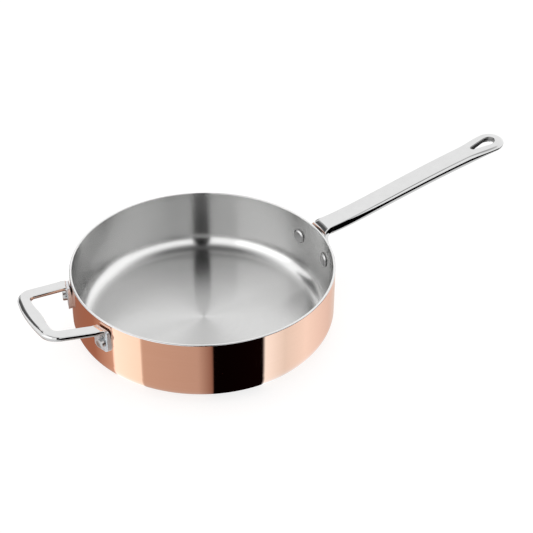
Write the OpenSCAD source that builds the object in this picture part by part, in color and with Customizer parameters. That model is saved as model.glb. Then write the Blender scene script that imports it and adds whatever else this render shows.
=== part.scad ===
// Straight-sided saute pan: a clad body of copper, aluminium and stainless steel,
// a long cast handle with a hanging hole, and a cast loop handle opposite it.
// The base stands on z = 0, the pan's axis is the z axis, and the long handle points along +x.

/* [Pan body] */
// Outer diameter of the pan
pan_d = 260; // [230:1:320]
// Height of the pan from its base to its rim
pan_h = 68; // [60:1:95]
// Outside radius where the wall turns into the base
corner_r = 20; // [12:0.5:26]
// Thickness of the copper outside
copper_t = 0.4; // [0.3:0.05:0.8]
// Thickness of the aluminium core
core_t = 1.5; // [1.2:0.1:3]
// Thickness of the stainless steel liner
liner_t = 0.5; // [0.4:0.05:0.8]
// Radius that softens both edges of the rim
rim_round = 0.8; // [0.3:0.05:0.9]

/* [Rivets] */
// Diameter of a rivet's shank
shank_d = 6.5; // [5:0.1:7]
// Diameter of a rivet's head inside the pan
head_d = 15; // [12:0.5:16]
// Height of a rivet's head
head_h = 2.2; // [1.6:0.1:3]
// Width of the slope round a rivet's head
head_slope = 2; // [1:0.1:3]
// Diameter of a rivet's tail outside the pan
tail_d = 9; // [8:0.1:10]
// Height of a rivet's tail
tail_h = 4.6; // [3:0.1:5.5]
// Width of the bevel round a rivet's tail
tail_bevel = 0.5; // [0.2:0.1:1]

/* [Long handle] */
// Reach of the long handle from the pan's wall to its tip
reach = 229.5; // [200:0.5:260]
// Rise of the handle's top face from the rim to the tip
rise = 43.4; // [25:0.2:60]
// Width of the flat top face near the pan
neck_w = 18.2; // [15:0.2:20]
// Width of the flat top face where the grip ends
grip_w = 15.6; // [14:0.2:19]
// Width of the flat top face at the handle's end
end_w = 21.8; // [20:0.2:25]
// Thickness of the handle near the pan
root_t = 9.8; // [9:0.2:13]
// Thickness of the handle where its grip ends
grip_t = 11.2; // [9:0.2:13]
// Thickness of the handle about the hanging hole and at its tip
tip_t = 7.6; // [6.4:0.2:10]
// How far the rounded sides stand out past the flat top near the pan
root_bulge = 2.4; // [1.5:0.1:3.5]
// How far the rounded sides stand out past the flat top from the grip's end to the tip
tip_bulge = 5; // [3:0.1:6]
// Angle between the two rivets of the long handle, seen from above
rivet_span = 22; // [20:0.5:26]
// Depth of the rivets below the rim
rivet_drop = 23.8; // [21:0.2:28]
// Radius of the round pad about each rivet
pad_r = 10; // [9:0.2:12]
// Thickness of the cast flanges against the wall
flange_t = 3.8; // [3:0.1:5]
// Length of the hanging hole
hole_l = 28; // [22:0.5:32]
// Width of the hanging hole at its round end
hole_w = 12.4; // [10:0.2:14]
// Width of the hanging hole at its narrow end
hole_narrow_w = 5; // [4:0.2:8]
// Thickness left about the hanging hole, above the hollow in the underside
hole_web_t = 4.8; // [4:0.1:6]
// Width of the bevel round the hanging hole
hole_bevel = 0.8; // [0.4:0.1:1.2]

/* [Helper handle] */
// Reach of the loop handle from the pan's wall to the outer edge of its bar
loop_reach = 49.6; // [44:0.5:60]
// Width between the middles of the loop's two legs at the wall
loop_w = 79.6; // [74:0.5:90]
// Width of the flat top face of a leg
leg_w = 10.6; // [9:0.2:12]
// Width of the bar's flat top face at its middle
bar_w = 10; // [8:0.2:12]
// Width of the bar's flat top face where it is narrowest
bar_waist_w = 8; // [6:0.2:10]
// Thickness of the bar
bar_t = 7.6; // [6:0.2:9]
// Thickness of the legs
leg_t = 5; // [4:0.2:7]
// How far the bar's rounded outer side stands out past its flat top at the middle
bar_bulge = 4.6; // [3:0.1:5.5]
// How far the bar's outer side curves in from its middle to its ends
bar_curve = 2.2; // [0:0.1:2.5]
// How far the legs' rounded outer sides stand out past their flat tops
leg_bulge = 1.5; // [0.8:0.1:2]
// How far the loop's inner side stands out past its flat top
inner_bulge = 0.8; // [0.4:0.1:1.2]
// Angle by which the loop rises away from the pan
loop_tilt = 7.4; // [0:0.2:15]
// Angle by which each leg leans in towards the bar
leg_lean = 6; // [0:0.5:12]
// Radius of the loop's two corners along their middle line
loop_corner_r = 11; // [9.6:0.2:16]
// How far the loop's rivets stand outside the middles of its legs
loop_rivet_out = 0.6; // [0:0.1:1.5]
// Depth of the loop's rivets below the rim
loop_rivet_drop = 20.4; // [18:0.2:24]
// Width of each foot of the loop
foot_w = 17.6; // [16:0.2:22]
// How far the middle of each foot lies inwards of its rivet
foot_shift = 1.6; // [0:0.2:3]
// Height of each foot of the loop
foot_h = 24.4; // [23:0.2:30]

/* [Hidden] */

// Round parts are true curves; this only sets how they are drawn.
$fn = 96;
fine_fn = 360;
bevel_fn = 32;
// Overrun of every cut past the face that it opens
cut_over = 1;

// Pan body, worked out from its layers
pan_r = pan_d / 2;
wall_t = copper_t + core_t + liner_t;
inner_r = pan_r - wall_t;
rim_r_share = 0.45;
rim_r = min(rim_round, rim_r_share * wall_t);

// Space left between a casting and the wall it is riveted to
seat_gap = 0.05;
// Radial clearance between a rivet's shank and its hole
shank_gap = 0.05;
// Clearance round a rivet's tail in its spot face, and how deep the spot face is cut
tail_gap = 0.3;
spot_depth = 0.3;
head_edge_share = 0.65;

// Long handle: where things are along it
wall_face = pan_r + flange_t;
tail_seat = wall_face - spot_depth;
tip_x = pan_r + reach;
flare_l = 9.5;
neck_x = wall_face + flare_l;
// The casting is modelled on past the wall, and then cut to the wall's curve.
sunk_l = 9;
neck_lift = 2.3;
neck_slope = 6;
tip_slope = 6.8;
neck_pull_share = 0.211;
tip_pull_share = 0.424;
end_blend_l = 34;
flange_top_drop = 3.6;
flange_top_r = 7;
flange_top_half = 17;
shoulder_angle = 42;
// Where the underside's curve starts: just past the side's widest point
under_angle = 96;
belly_share = 0.46;
under_share = 0.5;
scoop_half = 17;
scoop_gap = 3.6;
scoop_depth = 13;
hole_end_land = 10.8;
// How far the hollow in the underside runs past the hanging hole all round
hollow_margin = 3;
soft_edge = 0.6;
// The last ring of the round end stops short of straight ahead, which closes it with a narrow flat
tip_last_angle = 87;

// Loop handle: where things are along it
loop_x = pan_r + loop_reach - bar_w / 2;
loop_top_drop = 4.1;
foot_top_drop = 6;
foot_inner_r = 5;
foot_outer_r = 3.6;
foot_top_r = 3.4;
leg_flare_l = 7;
back_draft_l = 10;
back_draft_gap = 1.5;
bar_wide_share = 0.7;
// How hollow the flares are beside and below each neck, where 1 is a quarter round
root_hollow = 1.6;
leg_hollow = 2.2;

// Fineness of the cast forms: points on each corner of a section, and steps along a part
corner_n = 8;
flare_n = 6;
grip_n = 22;
end_n = 10;
leg_n = 2;
bend_n = 7;
bar_n = 8;

function mix(a, b, share) = a + (b - a) * share;
function smooth(share) = share * share * (3 - 2 * share);
function limit01(share) = max(0, min(1, share));

// Quarter of an ellipse about [cx, cz], from angle a0 to a1, measured clockwise from straight up
function quarter(cx, cz, rx, rz, a0, a1) =
    [for (i = [0 : corner_n - 1])
        let (a = mix(a0, a1, i / (corner_n - 1)))
        [cx + rx * sin(a), cz + rz * cos(a)]];

function flipped(points) = [for (i = [len(points) - 1 : -1 : 0]) [-points[i][0], points[i][1]]];

// One side of a cast section: a soft shoulder at the flat top, a rounded side, and a rounded underside
function section_side(half, bulge, thick) =
    let (
        belly = belly_share * thick,
        round_x = bulge / (1 - sin(shoulder_angle)),
        round_z = belly / cos(shoulder_angle),
        under_x = under_share * (half + bulge)
    )
    concat(
        quarter(half + bulge - round_x, -belly, round_x, round_z, shoulder_angle, 90),
        quarter(half + bulge - under_x, -belly, under_x, thick - belly, under_angle, 180));

// Whole cast section, clockwise from the top face's outer edge, as [sideways, up] points
function section(half, bulge_out, bulge_in, thick) =
    concat(section_side(half, bulge_out, thick), flipped(section_side(half, bulge_in, thick)));

// Angle of the line that touches two circles on their right, measured clockwise from straight up
function touch_angle(y1, z1, r1, y2, z2, r2) =
    let (dy = y2 - y1, dz = z2 - z1, a = atan2(dy, dz) - acos((r1 - r2) / norm([dy, dz])))
    a < 0 ? a + 360 : a;

// Flange outline with a round pad low on each side: the same count of points as a section
function flange_side(y1, z1, r1, y2, z2, r2) =
    let (a = touch_angle(y1, z1, r1, y2, z2, r2))
    concat(quarter(y1, z1, r1, r1, 0, a), quarter(y2, z2, r2, r2, a, 180));

function front_x(y, radius) = sqrt(max(0, radius * radius - y * y));

// How tightly each point of a section comes in from the flange: a quarter round along the flat top,
// and a tighter hollow beside and below it
function tightness(i, hollow) =
    let (k = i < 2 * corner_n ? i : 4 * corner_n - 1 - i)
    mix(1, hollow, smooth(limit01(k / (corner_n - 1))));

// A ring of the flare, which runs from the flange's outline on its front face, at t = 0,
// to the neck's section, at t = 90
function flare_ring(neck, outline, radius, hollow, t) =
    [for (i = [0 : len(neck) - 1])
        let (
            spread = pow(1 - sin(t), tightness(i, hollow)),
            y = mix(neck[i][1], outline[i][0], spread),
            z = mix(neck[i][2], outline[i][1], spread)
        )
        [mix(front_x(y, radius), neck[i][0], 1 - cos(t)), y, z]];

// An outline laid on a round wall of the given radius
function flange_ring(outline, radius) = [for (p = outline) [front_x(p[0], radius), p[0], p[1]]];

function flat_ring(outline, x) = [for (p = outline) [x, p[0], p[1]]];

// A closed solid through rings of equal length
module loft(rings) {
    n = len(rings[0]);
    m = len(rings);
    points = [for (ring = rings) for (p = ring) p];
    sides = [for (j = [0 : m - 2]) for (i = [0 : n - 1])
        let (a = j * n + i, b = j * n + (i + 1) % n, c = a + n, d = b + n)
        each [[a, b, c], [b, d, c]]];
    last = (m - 1) * n;
    start = [for (i = [0 : n / 2 - 2])
        let (a = i, b = i + 1, c = n - 1 - i, d = n - 2 - i)
        each [[b, a, c], [b, c, d]]];
    finish = [for (i = [0 : n / 2 - 2])
        let (a = last + i, b = a + 1, c = last + n - 1 - i, d = c - 1)
        each [[a, b, c], [b, d, c]]];
    polyhedron(points = points, faces = concat(sides, start, finish));
}

// Half of an upright section of a cup: full disc, corner arc and wall
module cup_half(r, base_z, top_z, corner) {
    translate([0, base_z])
        square([r - corner, top_z - base_z]);
    translate([0, base_z + corner])
        square([r, top_z - base_z - corner]);
    translate([r - corner, base_z + corner])
        circle(r = corner);
}

// The rim with both of its edges rounded, and everything below it
module rim_envelope() {
    square([pan_r, pan_h - rim_r]);
    square([pan_r - rim_r, pan_h]);
    translate([pan_r - rim_r, pan_h - rim_r])
        circle(r = rim_r);
}

module rim_inner_round() {
    difference() {
        translate([inner_r - cut_over, pan_h - rim_r])
            square([rim_r + cut_over, rim_r + cut_over]);
        translate([inner_r + rim_r, pan_h - rim_r])
            circle(r = rim_r);
    }
}

// Upright section of one layer of the clad wall, between two depths in from the pan's outside
module layer_half(outside, inside) {
    difference() {
        cup_half(pan_r - outside, outside, pan_h, corner_r - outside);
        cup_half(pan_r - inside, inside, pan_h + cut_over, corner_r - inside);
    }
}

// The band at the rim where its outer edge is rounded: the core comes out over the copper here
module rim_band() {
    translate([pan_r - copper_t - rim_r, pan_h - rim_r])
        square([copper_t + rim_r, rim_r]);
}

// Places children, drawn along +x, at a rivet: turn is its angle about the pan's axis
module at_rivet(turn, drop) {
    rotate([0, 0, turn])
        translate([0, 0, pan_h - drop])
            rotate([0, 90, 0])
                children();
}

module rivet_hole(turn, drop) {
    at_rivet(turn, drop)
        translate([0, 0, inner_r - cut_over - head_h])
            cylinder(d = shank_d + 2 * shank_gap, h = wall_t + flange_t + tail_h + head_h + 2 * cut_over);
}

// Turns of all four rivets about the pan's axis, with their drops below the rim
loop_rivet_turn = asin((loop_w / 2 + loop_rivet_out) / pan_r);
RIVETS = [[rivet_span / 2, rivet_drop], [-rivet_span / 2, rivet_drop],
    [180 + loop_rivet_turn, loop_rivet_drop], [180 - loop_rivet_turn, loop_rivet_drop]];

module all_rivet_holes() {
    for (r = RIVETS)
        rivet_hole(r[0], r[1]);
}

module copper_skin() {
    color("#c98765")
        difference() {
            rotate_extrude()
                difference() {
                    layer_half(0, copper_t);
                    rim_band();
                }
            all_rivet_holes();
        }
}

module aluminium_core() {
    color("#c9cbcc")
        difference() {
            rotate_extrude()
                intersection() {
                    union() {
                        layer_half(copper_t, copper_t + core_t);
                        rim_band();
                    }
                    rim_envelope();
                }
            all_rivet_holes();
        }
}

module steel_liner() {
    color("#b4b5b4")
        difference() {
            rotate_extrude()
                difference() {
                    layer_half(copper_t + core_t, wall_t);
                    rim_inner_round();
                }
            all_rivet_holes();
        }
}

// Rivet with a sloped head inside the pan, curved to the wall, and a flat-seated tail outside it
module rivet(turn, drop) {
    color("#c3c4c4")
        at_rivet(turn, drop) {
            intersection() {
                translate([0, 0, inner_r - head_h])
                    rotate_extrude()
                        polygon([[0, 0], [head_d / 2 - head_slope, 0], [head_d / 2, head_edge_share * head_h],
                            [head_d / 2, head_h], [0, head_h]]);
                rotate([0, -90, 0])
                    cylinder(r = inner_r - seat_gap, h = 2 * head_d, center = true, $fn = fine_fn);
            }
            translate([0, 0, inner_r - head_h / 2])
                cylinder(d = shank_d, h = tail_seat - inner_r + head_h / 2 + tail_h / 2);
            translate([0, 0, tail_seat])
                rotate_extrude()
                    polygon([[0, 0], [tail_d / 2, 0], [tail_d / 2, tail_h - tail_bevel],
                        [tail_d / 2 - tail_bevel, tail_h], [0, tail_h]]);
        }
}

// Room for a rivet's shank and tail in a casting, with a flat spot face
module rivet_room(turn, drop) {
    rivet_hole(turn, drop);
    at_rivet(turn, drop)
        translate([0, 0, tail_seat])
            cylinder(d = tail_d + 2 * tail_gap, h = tail_h + cut_over);
}

// The wall's outside, as a cutter for what is riveted to it
module wall_cutter() {
    translate([0, 0, -cut_over])
        cylinder(r = pan_r + seat_gap, h = pan_h + rise + 2 * cut_over);
}

// Long handle: a Bezier line for its top face
neck_z = pan_h + neck_lift;
tip_z = pan_h + rise;
line_l = tip_x - neck_x;
P0 = [neck_x, neck_z];
P1 = P0 + neck_pull_share * line_l * [cos(neck_slope), sin(neck_slope)];
P3 = [tip_x, tip_z];
P2 = P3 - tip_pull_share * line_l * [cos(tip_slope), sin(tip_slope)];
function top_point(t) =
    pow(1 - t, 3) * P0 + 3 * t * pow(1 - t, 2) * P1 + 3 * t * t * (1 - t) * P2 + t * t * t * P3;
// Where along the line a given x lies, by halving the interval
function line_t(x, low = 0, high = 1, steps = 16) =
    let (t = (low + high) / 2)
    steps == 0 ? t : (top_point(t)[0] < x ? line_t(x, t, high, steps - 1) : line_t(x, low, t, steps - 1));
function top_z(x) = top_point(line_t(x))[1];

// Along the grip each size changes evenly, and past it the handle widens and thins about the hole
end_half = end_w / 2;
end_x = tip_x - tip_bulge - end_half;
blend_x = end_x - end_blend_l;
function grip_share(x) = limit01((x - neck_x) / (blend_x - neck_x));
function end_share(x) = smooth(limit01((x - blend_x) / end_blend_l));
function handle_bulge(x) = mix(root_bulge, tip_bulge, grip_share(x));
function handle_thick(x) = mix(mix(root_t, grip_t, grip_share(x)), tip_t, end_share(x));
function top_half(x) = mix(mix(neck_w, grip_w, grip_share(x)) / 2, end_half, end_share(x));

// A ring of the long handle at x
function handle_ring(x) =
    let (z = top_z(x), bulge = handle_bulge(x))
    [for (p = section(top_half(x), bulge, bulge, handle_thick(x))) [x, p[0], z + p[1]]];

// A ring at the round end: each side leans outwards by the angle a
function end_ring(a) =
    let (
        x = end_x + end_half * sin(a),
        bulge = handle_bulge(x),
        z = top_z(x)
    )
    [for (p = section(end_half, bulge, bulge, handle_thick(x)))
        let (out = abs(p[0]), side = p[0] < 0 ? -1 : 1)
        [end_x + out * sin(a), side * out * cos(a), z + p[1]]];

module long_handle_body() {
    outline_side = flange_side(flange_top_half - flange_top_r, pan_h - flange_top_drop - flange_top_r,
        flange_top_r, pan_r * sin(rivet_span / 2), pan_h - rivet_drop, pad_r);
    outline = concat(outline_side, flipped(outline_side));
    neck = handle_ring(neck_x);
    loft(concat(
        [flat_ring(outline, pan_r - sunk_l)],
        [flange_ring(outline, wall_face - soft_edge)],
        [for (k = [0 : flare_n - 1]) flare_ring(neck, outline, wall_face, root_hollow, k * 90 / flare_n)],
        [for (k = [0 : grip_n - 1]) handle_ring(mix(neck_x, end_x, k / grip_n))],
        [for (k = [0 : end_n]) end_ring(k * tip_last_angle / end_n)]));
}

// Hanging hole: wide at the tip and narrow towards the pan, with a bevel at both faces
hole_big_r = hole_w / 2;
hole_small_r = hole_narrow_w / 2;
hole_big_x = tip_x - hole_end_land - hole_big_r;
hole_small_x = hole_big_x + hole_big_r - hole_l + hole_small_r;
hole_z = top_z(hole_big_x);
hole_lean = (top_z(hole_big_x) - top_z(hole_small_x)) / (hole_big_x - hole_small_x);

// Outline of the hanging hole, grown all round: two round ends and the straight sides that touch both
module hole_outline(grown) {
    big = hole_big_r + grown;
    small = hole_small_r + grown;
    gap = hole_big_x - hole_small_x;
    a = acos((big - small) / gap);
    circle(r = big);
    translate([-gap, 0])
        circle(r = small);
    polygon([[-big * cos(a), big * sin(a)], [-gap - small * cos(a), small * sin(a)],
        [-gap - small * cos(a), -small * sin(a)], [-big * cos(a), -big * sin(a)]]);
}

// Bevel of the hanging hole, square to the handle: up = 1 for the top face, and -1 for the face below
module hole_bevel_cutter(up) {
    reach_out = hole_bevel + cut_over;
    translate([hole_big_x, 0, hole_z])
        rotate([0, -atan(hole_lean), 0])
            translate([0, 0, up > 0 ? 0 : -hole_web_t])
                rotate([up > 0 ? 0 : 180, 0, 0])
                    translate([0, 0, -hole_bevel])
                        hull() {
                            cylinder(r1 = hole_big_r, r2 = hole_big_r + reach_out, h = reach_out,
                                $fn = bevel_fn);
                            translate([hole_small_x - hole_big_x, 0, 0])
                                cylinder(r1 = hole_small_r, r2 = hole_small_r + reach_out, h = reach_out,
                                    $fn = bevel_fn);
                        }
}

// Hanging hole, square to the top face, with the hollow about it in the underside
module hanging_hole() {
    translate([hole_big_x, 0, hole_z])
        rotate([0, -atan(hole_lean), 0]) {
            translate([0, 0, -2 * tip_t])
                linear_extrude(height = 3 * tip_t)
                    hole_outline(0);
            translate([0, 0, -hole_web_t - 2 * tip_t])
                linear_extrude(height = 2 * tip_t)
                    hole_outline(hollow_margin);
        }
    for (up = [1, -1])
        hole_bevel_cutter(up);
}

module long_handle() {
    color("#cfd0d1")
        difference() {
            long_handle_body();
            wall_cutter();
            rivet_room(rivet_span / 2, rivet_drop);
            rivet_room(-rivet_span / 2, rivet_drop);
            root_scoop();
            hanging_hole();
        }
}

// Hollow at the back of the root, so that the neck stands clear of the wall between the rivets
module root_scoop() {
    chord_x = front_x(scoop_half, pan_r);
    depth = pan_r + scoop_gap - chord_x;
    r = (scoop_half * scoop_half + depth * depth) / (2 * depth);
    translate([pan_r + scoop_gap - r, 0, pan_h - scoop_depth])
        cylinder(r = r, h = scoop_depth + rise);
}

// Loop handle, drawn along +x and then turned to the pan's far side
function loop_top(x) = pan_h - loop_top_drop + (x - wall_face) * tan(loop_tilt);
// Middle of the bend: it touches the leaning leg and the bar
bend_x = loop_x - loop_corner_r;
leg_end_x = bend_x + loop_corner_r * sin(leg_lean);
leg_end_y = loop_w / 2 - (leg_end_x - pan_r) * tan(leg_lean);
bend_y = leg_end_y - loop_corner_r * cos(leg_lean);

// Ring of the loop at [x, y], facing outwards at the angle turn from +x
function loop_ring(x, y, turn, half, bulge, thick) =
    [for (p = section(half, bulge, inner_bulge, thick))
        let (px = x + p[0] * cos(turn), py = y + p[0] * sin(turn))
        [px, py, loop_top(px) + p[1]]];

function leg_ring(x) =
    loop_ring(x, loop_w / 2 - (x - pan_r) * tan(leg_lean), 90 - leg_lean, leg_w / 2, leg_bulge, leg_t);

// Ring of the bar at y: its outer side runs past the waist in its flat top, in one slow curve
function bar_outer_bulge(y) = bar_bulge + bar_w / 2 - bar_half(y) - bar_curve * pow(y / bend_y, 2);
function bar_ring(y) = loop_ring(loop_x, y, 0, bar_half(y), bar_outer_bulge(y), bar_t);

// Ring of the bend, where share is 0 at the bar and 1 at the leg
function bend_ring(share) =
    let (turn = (90 - leg_lean) * share, blend = smooth(share))
    loop_ring(bend_x + loop_corner_r * cos(turn), bend_y + loop_corner_r * sin(turn), turn,
        bar_half(bend_y + bend_l * share), mix(leg_bulge, bar_outer_bulge(bend_y), pow(1 - share, 2)),
        mix(bar_t, leg_t, blend));

// Half width of the top at a distance along the middle line from the bar's middle:
// full in the middle, with a waist before each bend, and full again on the legs
waist_at = bar_wide_share * bend_y;
bend_l = loop_corner_r * (90 - leg_lean) * PI / 180;
function bar_half(along) =
    let (
        inward = smooth(limit01(along / waist_at)),
        outward = smooth(limit01((along - waist_at) / (bend_y + bend_l - waist_at)))
    )
    mix(mix(bar_w, bar_waist_w, inward), leg_w, outward) / 2;

// Leg, bend and half of the bar on the loop's +y side, from the wall to the bar's middle
function half_loop(outline) =
    let (foot_x = front_x(loop_w / 2, wall_face), leg_x = foot_x + leg_flare_l, neck = leg_ring(leg_x))
    concat(
        [flat_ring(outline, front_x(loop_w / 2 + foot_w / 2, pan_r) - sunk_l)],
        [flange_ring(outline, wall_face - soft_edge)],
        [for (k = [0 : flare_n - 1]) flare_ring(neck, outline, wall_face, leg_hollow, k * 90 / flare_n)],
        [for (k = [0 : leg_n - 1]) leg_ring(mix(leg_x, leg_end_x, k / leg_n))],
        [for (k = [0 : bend_n - 1]) bend_ring(1 - k / bend_n)],
        [for (k = [0 : bar_n]) bar_ring(bend_y * (1 - k / bar_n))]);

// One side of a foot's outline, with its lower corner rounded to corner
function foot_side(corner) =
    let (half = foot_w / 2, top = pan_h - foot_top_drop)
    flange_side(half - foot_top_r, top - foot_top_r, foot_top_r,
        half - corner, top - foot_h + corner, corner);

module loop_body() {
    // The foot's outline, drawn about its own middle, and then moved out towards the rivet
    foot_y = loop_w / 2 + loop_rivet_out - foot_shift;
    outline = [for (p = concat(foot_side(foot_outer_r), flipped(foot_side(foot_inner_r))))
        [p[0] + foot_y, p[1]]];
    rings = half_loop(outline);
    n = len(rings);
    mirrored = [for (j = [n - 2 : -1 : 0]) [for (p = rings[j]) [p[0], -p[1], p[2]]]];
    loft(concat(rings, mirrored));
}

// Draft on the backs of the feet, so that their top edges stand a little clear of the wall
module back_draft() {
    translate([0, 0, pan_h - foot_top_drop - back_draft_l])
        cylinder(r1 = pan_r, r2 = pan_r + back_draft_gap * 2, h = back_draft_l * 2);
}

module helper_handle() {
    color("#cfd0d1")
        rotate([0, 0, 180])
            difference() {
                loop_body();
                wall_cutter();
                back_draft();
                rivet_room(loop_rivet_turn, loop_rivet_drop);
                rivet_room(-loop_rivet_turn, loop_rivet_drop);
            }
}

module long_handle_left_rivet() {
    rivet(RIVETS[0][0], RIVETS[0][1]);
}

module long_handle_right_rivet() {
    rivet(RIVETS[1][0], RIVETS[1][1]);
}

module helper_left_rivet() {
    rivet(RIVETS[2][0], RIVETS[2][1]);
}

module helper_right_rivet() {
    rivet(RIVETS[3][0], RIVETS[3][1]);
}

copper_skin();
aluminium_core();
steel_liner();
long_handle();
long_handle_left_rivet();
long_handle_right_rivet();
helper_handle();
helper_left_rivet();
helper_right_rivet();
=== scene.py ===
# %% [markdown]
# # A copper saute pan in the studio
# The pan is a straight-sided body of three bonded metals, with a long cast handle and a cast loop
# handle, both riveted on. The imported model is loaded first: it fixes every size and place, and all
# that follows is made in the same frame, in metres, with the pan's axis on z and the long handle on +x.

# %% Load the fixed frame
import bpy
import bmesh
import math
from collections import namedtuple
from mathutils import Matrix, Vector


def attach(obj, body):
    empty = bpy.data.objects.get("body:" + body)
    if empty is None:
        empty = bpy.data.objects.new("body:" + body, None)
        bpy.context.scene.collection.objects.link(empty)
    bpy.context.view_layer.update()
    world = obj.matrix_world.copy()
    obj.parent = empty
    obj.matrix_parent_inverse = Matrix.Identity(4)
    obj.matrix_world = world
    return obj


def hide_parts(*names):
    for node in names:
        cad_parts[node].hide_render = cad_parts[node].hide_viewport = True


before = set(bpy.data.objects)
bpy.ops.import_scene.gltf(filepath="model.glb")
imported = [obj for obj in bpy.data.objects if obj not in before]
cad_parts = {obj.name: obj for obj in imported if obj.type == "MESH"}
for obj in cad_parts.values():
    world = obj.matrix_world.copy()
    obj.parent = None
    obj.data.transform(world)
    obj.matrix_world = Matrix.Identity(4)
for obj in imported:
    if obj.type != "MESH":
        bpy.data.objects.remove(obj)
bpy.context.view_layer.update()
MM = 0.001


def report(words, value):
    print(f"{words}: {value}")


report("CAD nodes", len(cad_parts))

# %% [markdown]
# ## Sizes
# A smoother piece that stands for a faceted solid has to fill the same space. It could be measured
# off the solid's mesh, but a mesh holds points and no rules. So the named sizes that the solid model
# is drawn from are given again here, in millimetres, and both models follow the same rules.

# %% Sizes of the pan
PAN_R, PAN_H, CORNER_R = 130, 68, 20
COPPER_T, CORE_T, LINER_T = 0.4, 1.5, 0.5
WALL_T = COPPER_T + CORE_T + LINER_T
INNER_R = PAN_R - WALL_T
# The radius of the ground rim, and the air between a riveted piece and the wall
RIM_R, SEAT_GAP = 0.8, 0.05
report("thickness of the wall, mm", round(WALL_T, 2))

# %% [markdown]
# ## Camera
# The photograph was taken from the loop handle's side with a long lens, looking down at about 35
# degrees. The camera's place and turn were solved from the rim's ellipse and the rivet heads. They
# could be set by eye, but then no edge of the render would lie on the photograph's edge.

# %% Camera
CAMERA_PLACE = Vector((-506.2, -994.4, 853.5)) * MM
FORWARD = Vector((0.4103, 0.7055, -0.5779)).normalized()
ROLL = math.radians(0.57)
LENS_MM, SENSOR_MM = 94.1, 36
flat_right = FORWARD.cross(Vector((0, 0, 1))).normalized()
flat_up = flat_right.cross(FORWARD)
camera_right = math.cos(ROLL) * flat_right + math.sin(ROLL) * flat_up
camera_up = camera_right.cross(FORWARD)
camera_data = bpy.data.cameras.new("camera")
camera_data.lens = LENS_MM
camera_data.sensor_width = SENSOR_MM
camera = bpy.data.objects.new("camera", camera_data)
axes = Matrix((camera_right, camera_up, -FORWARD)).transposed()
camera.matrix_world = Matrix.Translation(CAMERA_PLACE) @ axes.to_4x4()
bpy.context.scene.collection.objects.link(camera)
bpy.context.scene.camera = camera
bpy.context.scene.view_settings.view_transform = "Standard"
report("camera to the pan's middle, mm", round(CAMERA_PLACE.length / MM))

# %% [markdown]
# ## Small helpers for materials
# Colours are written as sRGB hex, as a designer picks them, and turned to the linear values that a
# shader wants. One function adds a node, sets it, and links what feeds it, and two more do so for
# the kinds of node that are used most. So each material below reads as a short list.

# %% Helpers for materials
# A Mix node has a set of sockets for each kind of value, with the same names: these are the colours'
MIX_A, MIX_B, MIX_OUT = 6, 7, 2


def colour(hex_code):
    channels = [int(hex_code[i:i + 2], 16) / 255 for i in (1, 3, 5)]
    return [c / 12.92 if c <= 0.04045 else ((c + 0.055) / 1.055) ** 2.4 for c in channels] + [1]


def add(tree, kind, inputs=None, **settings):
    made = tree.nodes.new(kind)
    for name, value in settings.items():
        setattr(made, name, value)
    for name, value in (inputs or {}).items():
        if isinstance(value, bpy.types.NodeSocket):
            tree.links.new(value, made.inputs[name])
        else:
            made.inputs[name].default_value = value
    return made


def worked_out(tree, operation, *values, **settings):
    # One number from others
    return add(tree, "ShaderNodeMath", dict(enumerate(values)), operation=operation, **settings).outputs[0]


def mixed_colour(tree, share, a, b, kind="MIX"):
    mixer = add(tree, "ShaderNodeMix", {0: share, MIX_A: a, MIX_B: b}, data_type="RGBA", blend_type=kind)
    return mixer.outputs[MIX_OUT]


def new_material(name):
    material = bpy.data.materials.new(name)
    material.use_nodes = True
    material.node_tree.nodes.clear()
    return material, material.node_tree


report("mid grey in linear light", round(colour("#808080")[0], 3))

# %% [markdown]
# ## The studio
# The pan stands on a pale table in even light. Polished metal has hardly a pattern of its own: it
# shows its surroundings. A picture of a real studio wrapped round the scene would be one way, but
# cards placed one by one are easier to steer. So the surroundings are built: soft white all about,
# black flags that draw the crisp dark bands, and white boards that draw the bright ones.

# %% World
# The studio's walls are brighter than paper white, which only the metal can show, and what lights
# the pan from all sides is dimmer than the white that the camera sees
MIRRORED_LEVEL, AMBIENT_LEVEL = 1.65, 0.62
world = bpy.data.worlds.new("soft white studio")
bpy.context.scene.world = world
world.use_nodes = True
sky = world.node_tree
sky.nodes.clear()
rays = add(sky, "ShaderNodeLightPath")
seen = worked_out(sky, "ADD", rays.outputs["Is Camera Ray"], rays.outputs["Is Glossy Ray"], use_clamp=True)
shown = add(sky, "ShaderNodeMapRange", {0: seen, "To Min": AMBIENT_LEVEL, "To Max": 1})
level = worked_out(sky, "MULTIPLY_ADD", rays.outputs["Is Glossy Ray"], MIRRORED_LEVEL - 1, shown.outputs[0])
sky_light = add(sky, "ShaderNodeBackground", {"Color": colour("#FFFFFF"), "Strength": level})
add(sky, "ShaderNodeOutputWorld", {"Surface": sky_light.outputs[0]})
report("the walls' level in the metal", MIRRORED_LEVEL)

# %% Top softbox
# It only lights the table and the pan's soft shadow: the metal doesn't mirror it. Sizes in metres.
LAMP_PLACE, LAMP_SIZE, LAMP_POWER = Vector((0.1, 0.3, 1.5)), 1.4, 9
lamp_data = bpy.data.lights.new("top softbox", "AREA")
lamp_data.shape = "RECTANGLE"
lamp_data.size = lamp_data.size_y = LAMP_SIZE
lamp_data.energy = LAMP_POWER
lamp = bpy.data.objects.new("top softbox", lamp_data)
lamp.location = LAMP_PLACE
lamp.rotation_euler = (-LAMP_PLACE).to_track_quat("-Z", "Y").to_euler()
lamp.visible_glossy = False
bpy.context.scene.collection.objects.link(lamp)
report("power of the softbox, W", LAMP_POWER)

# %% [markdown]
# ## The table
# A sheet of matt white paper under the pan. A plain white surface would do, but it would turn grey
# where the light falls off. So part of what the camera sees of it is an even veil of white, and the
# rest is the lit paper, which keeps the pan's soft shadow. The metal mirrors it as a bright board.

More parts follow.
